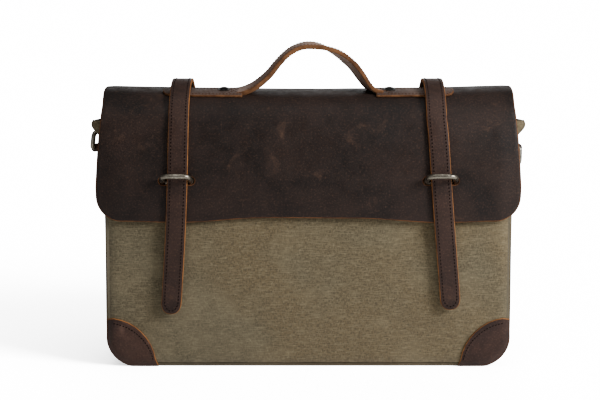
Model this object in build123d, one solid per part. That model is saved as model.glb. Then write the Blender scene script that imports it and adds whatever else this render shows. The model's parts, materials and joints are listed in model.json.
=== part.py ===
"""Messenger bag: canvas body, leather flap with two tuck straps, metal loops, carry handle and side rings.

Millimetres. +X is to the viewer's right, -Y is the front, +Z is up. The origin is the middle of the
footprint of the whole bag, on the surface that it stands on. Each separate piece is one file in parts/.
"""

import math
import os

from build123d import *

os.makedirs("parts", exist_ok=True)

# ---- Driving dimensions ----
BODY_W = 406.0  # canvas body, across the side seams
CORNER_R = 30.0  # bottom corners of the body, seen from the front
MOUTH_Z = 250.0  # height of the canvas body's open mouth
MIDPLANE_Y = 12.8  # the body's own middle plane, so that straps and loops balance the footprint
CANVAS_T = 1.5
LINING_T = 0.8
LINING_GAP = 0.4
LEATHER_T = 2.2  # the flap
PATCH_T = 1.8  # corner patches, tabs and facings
STRAP_T = 3.5  # two layers, stitched
STRAP_W = 21.0
FLAP_W = 420.0  # at its lower edge
FLAP_TOP_W = 414.0
FLAP_CORNER_R = 27.0
WIRE_R = 2.2  # side rings
BORE_GAP = 0.08  # running clearance of a ring's bar in its leather tab
JOINT_GAP = 0.3  # between pieces that move past each other

LOOP_Z = 188.4  # the metal loops' back bars
LOOP_WIRE_R = 2.5  # the loops are of thicker wire
LOOP_X = {"left": -129.6, "right": 130.3}
LOOP_OUT_W = 33.0  # outside width of a loop
LOOP_TILT = 26.0  # degrees that a loop points up
LOOP_REACH = 20.6  # from back bar to the middle of the bow, between wire centres
LOOP_BOW = 9.0  # how far the bow's middle stands beyond its ends
LOOP_TAB_W = 18.0
LOOP_FOLD_T = 0.9  # the tab is pared thin where it folds round the bar
SLOT_W, SLOT_H, SLOT_Z = 37.0, 9.6, 191.8  # slot in the flap that a loop comes through
STRAP_X = {"left": -127.6, "right": 126.0}  # strap middles, where they leave the top
STRAP_LEAN = {"left": 2.25, "right": -4.7}  # degrees about +Y; a strap's tip swings outwards
STRAP_TIP_Z = {"left": 56.5, "right": 60.0}

HANDLE_Y = -13.6  # the handle's middle, from the body's middle plane
HANDLE_T = 4.4
GRIP_W = 20.0
DIVIDER_Y = (13.0, 20.0)  # the padded divider's faces, from the body's middle plane
ZIP_Z, ZIP_HALF = 182.0, 95.0
BASE_T = 2.4  # the handle's base strips
TILT_Z, TILT_R = 281.0, 14.4  # the handle tips about this line, outside this radius
RIVET_X = (-85.0, 82.0)
RIVET_R = 2.0
PATCH_R = 50.0  # corner patches

SIDE_BAR_OUT = {"left": 214.0, "right": 212.0}  # middles of the side rings' bars, from X = 0
SIDE_BAR_Z = 219.5
SIDE_TWIST = {"left": 30.0, "right": 18.0}  # degrees that a tab has turned
SIDE_RING_TURN = {"left": -82.0, "right": 90.0}  # the left ring stands up, the right one hangs
SIDE_TAB_W = 17.6
SIDE_RING_W, SIDE_RING_H = 28.0, 16.3


class Path:
    """A plane path of tangent arcs and lines, with outward on its left (side 1) or right (side -1)."""

    def __init__(self, start, heading, pieces, side):
        self.side = side
        self.pieces = []
        u, v, h, s = *start, math.radians(heading), 0.0
        for length, turn in pieces:
            self.pieces.append((s, u, v, h, length, math.radians(turn)))
            u, v, h = self._along(u, v, h, length, math.radians(turn), length)
            s += length
        self.length = s

    @staticmethod
    def _along(u, v, h, length, turn, d):
        if abs(turn) < 1e-9:
            return u + d * math.cos(h), v + d * math.sin(h), h
        k = turn / length
        h2 = h + k * d
        return u + (math.sin(h2) - math.sin(h)) / k, v - (math.cos(h2) - math.cos(h)) / k, h2

    def at(self, s, out=0.0):
        """The point at distance s along the path, moved outwards, and the outward direction."""
        for start, u, v, h, length, turn in self.pieces:
            if s <= start + length + 1e-9 or start == self.pieces[-1][0]:
                u, v, h = self._along(u, v, h, length, turn, s - start)
                break
        n = (-math.sin(h) * self.side, math.cos(h) * self.side)
        return (u + n[0] * out, v + n[1] * out), n

    def edges(self, s0, s1, out):
        made = []
        for start, _, _, _, length, turn in self.pieces:
            a, b = max(s0, start), min(s1, start + length)
            if b - a < 1e-6:
                continue
            p, m, q = (self.at(x, out)[0] for x in (a + 1e-9, (a + b) / 2, b - 1e-9))
            made.append(Line(p, q) if abs(turn) < 1e-9 else ThreePointArc(p, m, q))
        return made

    def band(self, s0, s1, inner, outer):
        """The closed strip between two offsets of the path, from s0 to s1."""
        far, near = self.edges(s0, s1, outer), self.edges(s0, s1, inner)
        ends = [Line(near[0] @ 0, far[0] @ 0), Line(near[-1] @ 1, far[-1] @ 1)]
        return make_face([*far, *near, *ends])

    def s_at_height(self, z, after=0.0):
        """Distance along the path, past `after`, at which it crosses a height."""
        steps = 4000
        best = min(
            (after + (self.length - after) * i / steps for i in range(steps + 1)),
            key=lambda s: abs(self.at(s)[0][1] - z),
        )
        return best


# Both panels' paths start a little below the base, and each panel is cut off level with it.
FRONT = Path((-44.6, -3.0), 98.8, [(257.0, -18.4)], side=1)
BACK = Path((43.95, -3.0), 88.96, [(260.2, 3.44)], side=-1)
# The flap's inner surface: rear shoulder, top, front shoulder, upper front, lower front.
FLAP = Path(
    (40.8, 257.2),
    98.0,
    [(28.8, 75.0), (42.2, 22.0), (36.65, 50.0), (34.9, 20.0), (64.5, 5.0)],
    side=-1,
)
FOLD_S = 92.0  # where the flap's front folds from its top
PIVOT_S = 107.0  # where a strap lifts
STRIP_S = (52.0, 76.0)  # the handle's base strips across the top
AXIS_OUT = LEATHER_T + 0.2  # the two flap hinges lie just outside the leather


def across(face, x0, x1):
    """A YZ face, given about the body's middle plane, drawn out along X."""
    solid = extrude(Plane.YZ * face, amount=x1 - x0, dir=(1, 0, 0))
    return Pos(x0, MIDPLANE_Y, 0) * solid


def outline(inset, top, floor=0.0):
    """The body's front outline with rounded bottom corners, as a prism right through in Y."""
    w, r = BODY_W / 2 - inset, max(CORNER_R - inset, 1.0)
    low = max(inset, floor)
    shape = Pos(0, (low + top) / 2) * Rectangle(2 * w, top - low)
    shape = fillet(shape.vertices().group_by(Axis.Y)[0], r)
    return extrude(Plane.XZ * shape, amount=200, both=True)


def between_panels(inset, high):
    """The space between the front and back panels, moved in from their outer faces."""
    front = FRONT.edges(0.0, FRONT.s_at_height(high), -inset)
    back = BACK.edges(0.0, BACK.s_at_height(high), -inset)
    ends = [Line(front[0] @ 0, back[0] @ 0), Line(front[-1] @ 1, back[-1] @ 1)]
    return across(make_face([*front, *back, *ends]), -BODY_W, BODY_W)


def cavity(inset, floor, top):
    """A solid that fills the body's inside to an inset from its outer faces."""
    return between_panels(inset, MOUTH_Z + 1) & outline(inset, top, floor)


def spline_ribbon(points, low, high):
    """A closed strip about a smooth line through hand-placed points, from offset low to high."""
    sides = {low: [], high: []}
    for i, (u, v) in enumerate(points):
        a, b = points[max(i - 1, 0)], points[min(i + 1, len(points) - 1)]
        du, dv = b[0] - a[0], b[1] - a[1]
        n = math.hypot(du, dv)
        for off, made in sides.items():
            made.append((u - dv / n * off, v + du / n * off))
    one, two = Spline(*sides[low]), Spline(*sides[high])
    return make_face([one, two, Line(one @ 0, two @ 0), Line(one @ 1, two @ 1)])


def wire_ring(outer_w, reach, bow, wire):
    """A round-wire D in the XY plane: a bar along X at the origin, arms to -Y and a bowed front."""
    half = outer_w / 2 - wire
    r = wire + 0.4
    arm = reach - bow - 1.5
    diag = r * (1 - math.sqrt(0.5))
    line = [Line((-half + r, 0), (half - r, 0))]
    for sign in (1, -1):
        corner = [(sign * (half - r), 0), (sign * (half - diag), -diag), (sign * half, -r)]
        line.append(ThreePointArc(*corner))
        line.append(Line((sign * half, -r), (sign * half, -arm)))
    line.append(Spline((half, -arm), (0, -reach), (-half, -arm), tangents=[(0, -1), (0, 1)]))
    start = Plane(origin=(0, 0, 0), z_dir=(1, 0, 0))
    return sweep(start * Circle(wire), path=Wire(line), transition=Transition.ROUND)


# ---- Canvas body ----
def body_panels():
    whole = outline(0.0, MOUTH_Z)
    front = across(FRONT.band(0, FRONT.length, -CANVAS_T, 0), -BODY_W, BODY_W)
    back = across(BACK.band(0, BACK.length, -CANVAS_T, 0), -BODY_W, BODY_W)
    band = (outline(0.0, MOUTH_Z) - outline(CANVAS_T, MOUTH_Z + 5)) & between_panels(CANVAS_T, MOUTH_Z + 1)
    flat = BODY_W / 2 - CORNER_R
    middle = Box(2 * flat, 300, 20)
    return {
        "front_panel": front & whole,
        "back_panel": back & whole,
        "bottom_panel": band & middle,
        "gusset_left": (band - middle) & Pos(-BODY_W, 0, 150) * Box(2 * BODY_W, 300, 400),
        "gusset_right": (band - middle) & Pos(BODY_W, 0, 150) * Box(2 * BODY_W, 300, 400),
    }


def inside_pieces():
    skin = CANVAS_T + LINING_GAP
    board_z = (CANVAS_T + 0.2, 4.2)
    lining_floor = board_z[1] + LINING_GAP
    inner = skin + LINING_T
    room = inner + 0.2
    facing = (room + PATCH_T, room)
    f0, f1 = FRONT.s_at_height(222), FRONT.s_at_height(MOUTH_Z - 1.0)
    b0, b1 = BACK.s_at_height(222), BACK.s_at_height(MOUTH_Z - 1.0)
    slab = Pos(0, MIDPLANE_Y + sum(DIVIDER_Y) / 2, 0) * Box(600, DIVIDER_Y[1] - DIVIDER_Y[0], 600)
    pocket_top, pocket_depth, pocket_half = 140.0, 7.5, 100.0
    pocket = across(FRONT.band(22, pocket_top, -room - pocket_depth, -room), -pocket_half, pocket_half)
    pocket -= across(
        FRONT.band(22 + LINING_T * 1.5, pocket_top + 1, -room - pocket_depth + LINING_T * 1.5, -room + 0.1),
        -pocket_half + LINING_T * 1.5,
        pocket_half - LINING_T * 1.5,
    )
    lining_top = MOUTH_Z - 0.5
    return {
        "bottom_board": Pos(0, MIDPLANE_Y - 0.5, sum(board_z) / 2) * Box(340, 82, board_z[1] - board_z[0]),
        "lining": cavity(skin, lining_floor, lining_top) - cavity(inner, lining_floor + LINING_T, MOUTH_Z + 5),
        "mouth_facing_front": across(FRONT.band(f0, f1, -facing[0], -facing[1]), -188, 188),
        "mouth_facing_back": across(BACK.band(b0, b1, -facing[0], -facing[1]), -188, 188),
        "laptop_divider": cavity(room + 0.2, lining_floor + LINING_T + 0.2, 214.0) & slab,
        "slip_pocket": pocket,
    }


# ---- Zipped pocket on the divider's front face ----
def zip_pieces():
    face = MIDPLANE_Y + DIVIDER_Y[0]
    pouch_z = (96.0, 200.0)
    half = ZIP_HALF + 9
    pouch = Pos(0, face - 2.0, sum(pouch_z) / 2) * Box(2 * half, 4.0, pouch_z[1] - pouch_z[0])
    pouch -= Pos(0, face - 1.4, sum(pouch_z) / 2) * Box(2 * half - 6, 2.8, pouch_z[1] - pouch_z[0] - 6)
    pouch -= Pos(0, face - 3.4, ZIP_Z) * Box(2 * ZIP_HALF, 3, 14)
    tape_y = face - 2.4
    tape = Pos(0, tape_y, ZIP_Z) * (Box(2 * half - 7, 0.8, 20) - Box(2 * ZIP_HALF, 3, 1.0))
    teeth_y = tape_y - 0.4 - 0.6
    teeth = Pos(0, teeth_y, ZIP_Z) * Box(2 * ZIP_HALF, 1.2, 4.4)
    x = ZIP_HALF - 8
    body = Pos(0, -0.9, 0) * Box(9.0, 2.7, 8.6) - Pos(0, 0, 0) * Box(12, 1.8, 5.2)
    ears = Pos(0, -3.4, 0) * Box(6.4, 3.4, 3.0) - Pos(0, -3.8, 0) * Box(3.8, 4.2, 4.0)
    pin = Pos(0, -4.0, 0) * Cylinder(0.6, 6.4, rotation=(0, 90, 0))
    slider = Pos(x, teeth_y, ZIP_Z) * (body + ears + pin)
    eye = Cylinder(1.4, 3.2, rotation=(0, 90, 0)) + Pos(0, -0.6, -13.5) * Box(3.2, 1.2, 25.0)
    tag = Pos(0, -0.6, -20.0) * Box(6.0, 1.2, 14.0)
    pull = eye + tag - Cylinder(0.75, 6, rotation=(0, 90, 0))
    pull = Pos(x, teeth_y - 4.0, ZIP_Z) * pull
    return {"zip_pocket": pouch, "zip_tape": tape, "zip_teeth": teeth, "zip_slider": slider, "zip_pull": pull}


# ---- Loops on the front ----
def loop_ring(side):
    """A metal loop at rest: its bar in the leather tab, its bow pointing out and a little up."""
    y, z = loop_axis(side)
    ring = wire_ring(LOOP_OUT_W, LOOP_REACH, LOOP_BOW, LOOP_WIRE_R)
    return Pos(LOOP_X[side], y, z) * Rot(-LOOP_TILT, 0, 0) * ring


def loop_axis(side):
    s = FRONT.s_at_height(LOOP_Z)
    (y, z), _ = FRONT.at(s, LOOP_WIRE_R + BORE_GAP + LOOP_FOLD_T)
    return y + MIDPLANE_Y, z


def bar_tube(length, wall, wire):
    """A leather fold around a bar along X, with the bore that the bar turns in."""
    outer = Cylinder(wire + BORE_GAP + wall, length, rotation=(0, 90, 0))
    return outer - Cylinder(wire + BORE_GAP, length + 2, rotation=(0, 90, 0))


def loop_tab(side):
    y, z = loop_axis(side)
    s = FRONT.s_at_height(LOOP_Z)
    half = LOOP_TAB_W / 2
    x = LOOP_X[side]
    plate = across(FRONT.band(s - 30, s + 1.5, 0, PATCH_T), x - half, x + half)
    second = across(FRONT.band(s - 30, s - 3.5, PATCH_T, 2 * PATCH_T), x - half, x + half)
    bore = Pos(x, y, z) * Cylinder(LOOP_WIRE_R + BORE_GAP, LOOP_TAB_W + 2, rotation=(0, 90, 0))
    return (plate + second + Pos(x, y, z) * bar_tube(LOOP_TAB_W, LOOP_FOLD_T, LOOP_WIRE_R)) - bore


# ---- Side tabs and rings: each is made on the left, and the right one is turned over ----
def side_frame(side):
    """The place of a side ring's bar on the left: X along the bar, -Y away from it in the ring's plane."""
    return Pos(-SIDE_BAR_OUT[side], MIDPLANE_Y, SIDE_BAR_Z) * Rot(0, 0, 90 - SIDE_TWIST[side])


def placed(shape, side):
    return shape if side == "left" else mirror(shape, Plane.YZ)


def side_ring(side):
    ring = wire_ring(SIDE_RING_W, SIDE_RING_H, 5.0, WIRE_R)
    return placed(side_frame(side) * Rot(SIDE_RING_TURN[side], 0, 0) * ring, side)


def side_tab(side):
    wall, low_z, high_z = BODY_W / 2, 176.0, 204.0
    plate = Box(PATCH_T, SIDE_TAB_W, high_z - low_z)
    plate = Pos(-wall - PATCH_T / 2, MIDPLANE_Y, (low_z + high_z) / 2) * plate
    foot, out = Vector(-wall - PATCH_T * 0.6, 0, high_z - 4), Vector(-SIDE_BAR_OUT[side], 0, SIDE_BAR_Z)
    run = out - foot
    lean = math.degrees(math.atan2(run.X, run.Z))
    middle = (foot + out) / 2
    free = Rot(0, lean, 0) * Box(2 * PATCH_T - 0.3, SIDE_TAB_W - 3, run.length)
    free = Pos(middle.X, MIDPLANE_Y, middle.Z) * free
    free -= Pos(-wall + 5, MIDPLANE_Y, 200) * Box(10, 100, 100)
    bar = side_frame(side)
    bore = bar * Cylinder(WIRE_R + BORE_GAP, SIDE_TAB_W * 1.6, rotation=(0, 90, 0))
    return placed((plate + free + bar * bar_tube(SIDE_TAB_W, PATCH_T, WIRE_R)) - bore, side)


# ---- Flap ----
def flap_outline():
    """The flap's front view: a little wider at its lower edge, with rounded lower corners."""
    top, low = FLAP_TOP_W / 2, FLAP_W / 2
    z0, z1 = FLAP.at(FLAP.length)[0][1] - 0.5, 300.0
    shape = make_face(Polyline((-low, z0), (low, z0), (top, z1), (-top, z1), close=True))
    shape = fillet(shape.vertices().group_by(Axis.Y)[0], FLAP_CORNER_R)
    return extrude(Plane.XZ * shape, amount=200, both=True)


def slot_cut(side):
    shape = SlotOverall(SLOT_W, SLOT_H)
    y, _ = loop_axis(side)
    return Pos(LOOP_X[side], y - 5, SLOT_Z) * extrude(Plane.XZ * shape, amount=15, both=True)


def flap_pieces():
    end = FLAP.length
    half = FLAP_W / 2
    gap = JOINT_GAP / 2
    back0, back1 = BACK.s_at_height(196), BACK.length - gap
    flap_back = across(BACK.band(back0, back1, 0, LEATHER_T), -half, half)
    top = across(FLAP.band(gap, FOLD_S - gap, 0, LEATHER_T), -half, half)
    front = across(FLAP.band(FOLD_S + gap, end, 0, LEATHER_T), -half, half)
    backing = across(FLAP.band(*STRIP_S, -PATCH_T, 0), -148, 146)
    holes = rivet_stack(RIVET_R)
    front = front & flap_outline()
    for side in LOOP_X:
        front -= slot_cut(side)
    wide = Pos(0, 0, 100) * Box(FLAP_TOP_W + 1, 400, 400)
    return {
        "flap_back": flap_back & wide,
        "flap_top": (top & flap_outline()) - holes,
        "flap_front": front,
        "handle_backing_strip": backing - holes,
    }


# ---- Carry handle ----
def strip_mid():
    s = sum(STRIP_S) / 2
    return FLAP.at(s)


def rivet_place(x, out):
    (y, z), n = strip_mid()
    tilt = math.degrees(math.atan2(-n[0], n[1]))
    return Pos(x, y + n[0] * out + MIDPLANE_Y, z + n[1] * out) * Rot(tilt, 0, 0)


def rivet_stack(r, low=-PATCH_T - 2, high=LEATHER_T + 8):
    shanks = [rivet_place(x, (low + high) / 2) * Cylinder(r, high - low) for x in RIVET_X]
    return shanks[0] + shanks[1]


def rivets():
    top = LEATHER_T + BASE_T
    made = []
    for x in RIVET_X:
        dome = Sphere(9.2) & Pos(0, 0, 9.2) * Box(20, 20, 5.0)
        head = Pos(0, 0, -6.7) * dome
        head = rivet_place(x, top) * (Cylinder(6.0, 0.9, align=(Align.CENTER, Align.CENTER, Align.MIN)) + head)
        length = top + PATCH_T + 0.9
        shank = rivet_place(x, top - length / 2) * Cylinder(RIVET_R, length)
        made.append(head + shank)
    return Compound(made)


def rivet_washers():
    made = []
    for x in RIVET_X:
        ring = Cylinder(4.5, 0.9) - Cylinder(RIVET_R, 3)
        made.append(rivet_place(x, -PATCH_T - 0.6) * ring)
    return Compound(made)


def handle_arch():
    """The whole handle strap as one bent ribbon, wide in Y, before it is split at its feet."""
    crest = [(-67, 281.3), (-52, 285.2), (-39, 294.2), (-28.5, 307.0), (-16, 317.4), (0, 321.8),
             (16, 320.9), (30, 315.3), (43, 305.2), (53, 293.8), (63, 283.6), (72, 281.0)]
    ribbon = spline_ribbon(crest, -HANDLE_T / 2, HANDLE_T / 2)
    solid = extrude(Plane.XZ * ribbon, amount=GRIP_W / 2, both=True)
    return Pos(0, MIDPLANE_Y + HANDLE_Y, 0) * solid


def tilt_drum(r):
    return Pos(0, MIDPLANE_Y + HANDLE_Y, TILT_Z) * Cylinder(r, 300, rotation=(0, 90, 0))


def handle_pieces():
    arch = handle_arch()
    foot = arch & tilt_drum(TILT_R - JOINT_GAP)
    grip = arch - tilt_drum(TILT_R)
    above = across(FLAP.band(0, FOLD_S, LEATHER_T + 0.02, 30), -200, 200)
    holes = rivet_stack(RIVET_R)
    pieces = {"handle_grip": grip}
    for side, x0, x1 in (("left", -145, -63), ("right", 66, 145)):
        strip = across(FLAP.band(*STRIP_S, LEATHER_T, LEATHER_T + BASE_T), x0, x1)
        half_space = Pos(-100 if side == "left" else 100, 0, 280) * Box(200, 400, 200)
        root = foot & half_space & above
        pieces[f"handle_base_{side}"] = (strip + root) - holes
    return pieces


# ---- Tuck straps ----
def strap_crown(side):
    """The strap's fixed rear length: stitched behind, arched over the top, up to the front fold."""
    lifts = [(17.0, 0.0), (27.0, 0.6), (38.0, 3.6), (50.0, 5.8), (62.0, 5.8), (73.0, 3.4), (FOLD_S - 9.5, 1.0)]
    points = [FLAP.at(s, LEATHER_T + 0.02 + lift)[0] for s, lift in lifts]
    face = spline_ribbon(points, -STRAP_T, 0)
    x = STRAP_X[side]
    under = across(FLAP.band(0, FOLD_S, -3, LEATHER_T), -FLAP_W, FLAP_W)
    return across(face, x - STRAP_W / 2, x + STRAP_W / 2) - under


def strap_pivot():
    (y, z), _ = FLAP.at(PIVOT_S, LEATHER_T + 2 * JOINT_GAP + STRAP_T / 2)
    return y + MIDPLANE_Y, z


def strap_front(side):
    """The strap's free length, from the fold through the loop to its rounded tip."""
    on_flap = [PIVOT_S, PIVOT_S + 12, PIVOT_S + 26, PIVOT_S + 44, PIVOT_S + 66, PIVOT_S + 88]
    points = [FLAP.at(s, LEATHER_T + 2 * JOINT_GAP)[0] for s in on_flap]
    tip = STRAP_TIP_Z[side]
    last = points[-1][0]
    points += [(last + 0.2, 136.0), (last + 1.0, 112.0), (last + 2.6, 84.0), (last + 4.4, tip - 4)]
    face = spline_ribbon(points, -STRAP_T, 0)
    strap = across(face, -STRAP_W / 2, STRAP_W / 2)
    high = 270.0
    front = Pos(0, (tip + high) / 2) * Rectangle(STRAP_W, high - tip)
    front = fillet(front.vertices().group_by(Axis.Y)[0], STRAP_W / 2 - 0.05)
    strap = strap & extrude(Plane.XZ * front, amount=200, both=True)
    z = strap_pivot()[1]
    turn = Pos(0, 0, z) * Rot(0, STRAP_LEAN[side], 0) * Pos(0, 0, -z)
    return Pos(STRAP_X[side], 0, 0) * turn * strap


# ---- Corner patches ----
def corner_patches():
    whole = outline(0.0, MOUTH_Z)
    made = {}
    for side, sign in (("left", -1), ("right", 1)):
        disc = Pos(sign * BODY_W / 2, 0, 0) * Cylinder(PATCH_R, 400, rotation=(90, 0, 0))
        for face, path in (("front", FRONT), ("back", BACK)):
            skin = across(path.band(0, PATCH_R + 5, 0, PATCH_T), -BODY_W / 2, BODY_W / 2)
            made[f"corner_patch_{face}_{side}"] = skin & disc & whole
    return made


def save(pieces):
    for name, shape in pieces.items():
        export_step(shape, f"parts/{name}.step")


def main():
    save(body_panels())
    save(inside_pieces())
    save(zip_pieces())
    save(corner_patches())
    save(flap_pieces())
    save(handle_pieces())
    save({"handle_rivets": rivets(), "rivet_washers": rivet_washers()})
    for side in ("left", "right"):
        save({f"loop_tab_{side}": loop_tab(side), f"strap_loop_{side}": loop_ring(side)})
        save({f"side_tab_{side}": side_tab(side), f"side_ring_{side}": side_ring(side)})
        save({f"strap_crown_{side}": strap_crown(side), f"strap_front_{side}": strap_front(side)})


main()
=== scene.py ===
"""Messenger bag: the looks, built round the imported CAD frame. Metres, +Z up, -Y is the front.

Order: profiles, mesh tools, materials, canvas body, flap, tuck straps, carry handle, corner patches,
padded divider, studio and camera.
"""

import json
import math

import bpy
import numpy as np
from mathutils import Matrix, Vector, noise
from mathutils.geometry import delaunay_2d_cdt


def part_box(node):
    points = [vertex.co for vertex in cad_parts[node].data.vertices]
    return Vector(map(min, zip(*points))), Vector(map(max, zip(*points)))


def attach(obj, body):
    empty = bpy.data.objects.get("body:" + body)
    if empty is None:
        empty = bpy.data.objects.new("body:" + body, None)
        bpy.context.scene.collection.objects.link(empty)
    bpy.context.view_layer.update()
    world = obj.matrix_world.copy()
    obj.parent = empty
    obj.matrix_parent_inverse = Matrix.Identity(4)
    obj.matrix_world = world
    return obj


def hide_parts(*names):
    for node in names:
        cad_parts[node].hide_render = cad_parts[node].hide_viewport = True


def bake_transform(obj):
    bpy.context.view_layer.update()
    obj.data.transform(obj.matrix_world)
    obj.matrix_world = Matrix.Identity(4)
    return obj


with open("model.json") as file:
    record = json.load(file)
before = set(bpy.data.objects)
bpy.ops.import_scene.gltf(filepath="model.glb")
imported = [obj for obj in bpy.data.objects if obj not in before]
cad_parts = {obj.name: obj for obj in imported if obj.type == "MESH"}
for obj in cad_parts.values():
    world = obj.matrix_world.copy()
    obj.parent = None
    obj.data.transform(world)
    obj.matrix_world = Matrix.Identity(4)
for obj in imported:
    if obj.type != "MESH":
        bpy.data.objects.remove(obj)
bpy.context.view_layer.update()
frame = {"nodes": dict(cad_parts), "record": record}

MM = 0.001
MOUNTS = {m["name"]: m for m in frame["record"]["mounts"]}
MID_Y = MOUNTS["base"]["pos_m"][1]  # the body's own middle plane
BODY_HALF, _, MOUTH_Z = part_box("front_panel")[1]
SIDES = ("left", "right")


# ---------------------------------------------------------------- profiles
class Profile:
    """Tangent arcs in the YZ plane, measured from the body's middle plane. Outward is on the right."""

    def __init__(self, start, heading, pieces, zero=0.0):
        self.zero, self.pieces, s = zero, [], 0.0
        u, v, h = start[0] * MM, start[1] * MM, math.radians(heading)
        for length, turn in pieces:
            length, turn = length * MM, math.radians(turn)
            self.pieces.append((s, u, v, h, length, turn))
            u, v, h = self._step(u, v, h, length, turn, length)
            s += length
        self.length = s - zero

    @staticmethod
    def _step(u, v, h, length, turn, d):
        k = turn / length if abs(turn) > 1e-9 else 1e-6
        h2 = h + k * d
        return u + (math.sin(h2) - math.sin(h)) / k, v - (math.cos(h2) - math.cos(h)) / k, h2

    def at(self, s, out=0.0):
        s += self.zero
        for start, u, v, h, length, turn in self.pieces:
            if s <= start + length or start == self.pieces[-1][0]:
                u, v, h = self._step(u, v, h, length, turn, s - start)
                break
        return Vector((u + math.sin(h) * out, v - math.cos(h) * out))


class Spline2:
    """A smooth curve through points in a plane, measured by its length."""

    def __init__(self, points, per=24):
        pts = [Vector(p) for p in points]
        pts = [2 * pts[0] - pts[1], *pts, 2 * pts[-1] - pts[-2]]
        dense = []
        for a, b, c, d in zip(pts, pts[1:], pts[2:], pts[3:]):
            for i in range(per):
                t = i / per
                dense.append(0.5 * (2 * b + (c - a) * t + (2 * a - 5 * b + 4 * c - d) * t * t
                                    + (3 * b - a - 3 * c + d) * t ** 3))
        dense.append(pts[-2])
        self.xy = np.array(dense)
        step = np.linalg.norm(np.diff(self.xy, axis=0), axis=1)
        self.s = np.concatenate([[0.0], np.cumsum(step)])
        self.length = float(self.s[-1])
        tangent = np.gradient(self.xy, self.s, axis=0)
        self.t = tangent / np.linalg.norm(tangent, axis=1)[:, None]

    def at(self, s, out=0.0):
        p = [np.interp(s, self.s, self.xy[:, i]) for i in (0, 1)]
        t = Vector([np.interp(s, self.s, self.t[:, i]) for i in (0, 1)]).normalized()
        past = s - min(max(s, 0.0), self.length)
        return Vector((p[0] + t.y * out + t.x * past, p[1] - t.x * out + t.y * past))


def ramp(x, low, high):
    t = min(max((x - low) / (high - low), 0.0), 1.0)
    return t * t * (3 - 2 * t)


def bump(x, middle, half):
    return math.exp(-(((x - middle) / half) ** 2))


def wobble(x, y, seed, scale):
    """Smooth noise about zero, with features about `scale` metres across."""
    return noise.noise(Vector((x / scale, y / scale, seed)))


# ---------------------------------------------------------------- mesh tools
def resample(points, step, closed=True):
    pts = [Vector(p) for p in points]
    if closed:
        pts = [*pts, pts[0]]
    out = []
    for a, b in zip(pts, pts[1:]):
        n = max(1, int(math.ceil((b - a).length / step)))
        out += [a.lerp(b, i / n) for i in range(n)]
    return out if closed else [*out, pts[-1]]


def signed_area(pts):
    return 0.5 * sum(a.x * b.y - b.x * a.y for a, b in zip(pts, pts[1:] + pts[:1]))


def moved_in(ring, distance, hold=None):
    """A loop moved towards the material on its left, except where hold(point) is true."""
    out = []
    n = len(ring)
    for i, p in enumerate(ring):
        a, b = ring[i - 1], ring[(i + 1) % n]
        d = (b - a).normalized()
        q = p + Vector((-d.y, d.x)) * distance
        if hold and hold(p):
            q = Vector((q.x, p.y)) if hold(a) != hold(b) else p
        out.append(q)
    return out


def inside_all(points, rings):
    """Even-odd test of many points against all the loops together."""
    x, y = points[:, 0], points[:, 1]
    odd = np.zeros(len(points), bool)
    for ring in rings:
        r = np.array(ring)
        x0, y0, (x1, y1) = r[:, 0], r[:, 1], np.roll(r, -1, axis=0).T
        for a, b, c, d in zip(x0, y0, x1, y1):
            if b == d:
                continue
            cross = (b > y) != (d > y)
            odd ^= cross & (x < (c - a) * (y - b) / (d - b) + a)
    return odd


def flat_mesh(rings, step):
    """Triangles over a plane region bounded by loops: (points, triangles). Loop points come first."""
    flat = np.array([p for ring in rings for p in ring])
    low, high = flat.min(axis=0), flat.max(axis=0)
    counts = [max(2, int((high[i] - low[i]) / step)) for i in (0, 1)]
    gx, gy = (np.linspace(low[i], high[i], counts[i] + 1)[1:-1] for i in (0, 1))
    grid = np.stack(np.meshgrid(gx, gy), axis=-1).reshape(-1, 2)
    keep = inside_all(grid, rings)
    for start in range(0, len(flat), 400):
        part = flat[start:start + 400]
        near = np.linalg.norm(grid[:, None, :] - part[None, :, :], axis=2).min(axis=1)
        keep &= near > step * 0.55
    grid = grid[keep]
    edges, first = [], 0
    for ring in rings:
        n = len(ring)
        edges += [(first + i, first + (i + 1) % n) for i in range(n)]
        first += n
    verts = [Vector(p) for p in flat] + [Vector(p) for p in grid]
    result = delaunay_2d_cdt(verts, edges, [], 0, 1e-9, True)
    points, faces = result[0], result[2]
    back = {i: ids[0] for i, ids in enumerate(result[3]) if ids}
    tris = np.array([f for f in faces if len(f) == 3])
    centres = np.array(points)[tris].mean(axis=1)
    tris = tris[inside_all(centres, rings)]
    return verts, [tuple(back[int(i)] for i in t) for t in tris]


def mesh_object(name, verts, faces, uvs, indices, materials, smooth=True):
    mesh = bpy.data.meshes.new(name)
    mesh.from_pydata([tuple(v) for v in verts], [], faces)
    layer = mesh.uv_layers.new(name="UVMap")
    if uvs is not None:
        loops = np.array([uvs[loop.vertex_index] for loop in mesh.loops], float)
        layer.data.foreach_set("uv", loops.ravel())
    for material in materials:
        mesh.materials.append(material)
    if indices is not None:
        mesh.polygons.foreach_set("material_index", indices)
    mesh.polygons.foreach_set("use_smooth", [smooth] * len(mesh.polygons))
    mesh.update()
    mesh.validate()
    piece = bpy.data.objects.new(name, mesh)
    bpy.context.scene.collection.objects.link(piece)
    return piece


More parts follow.
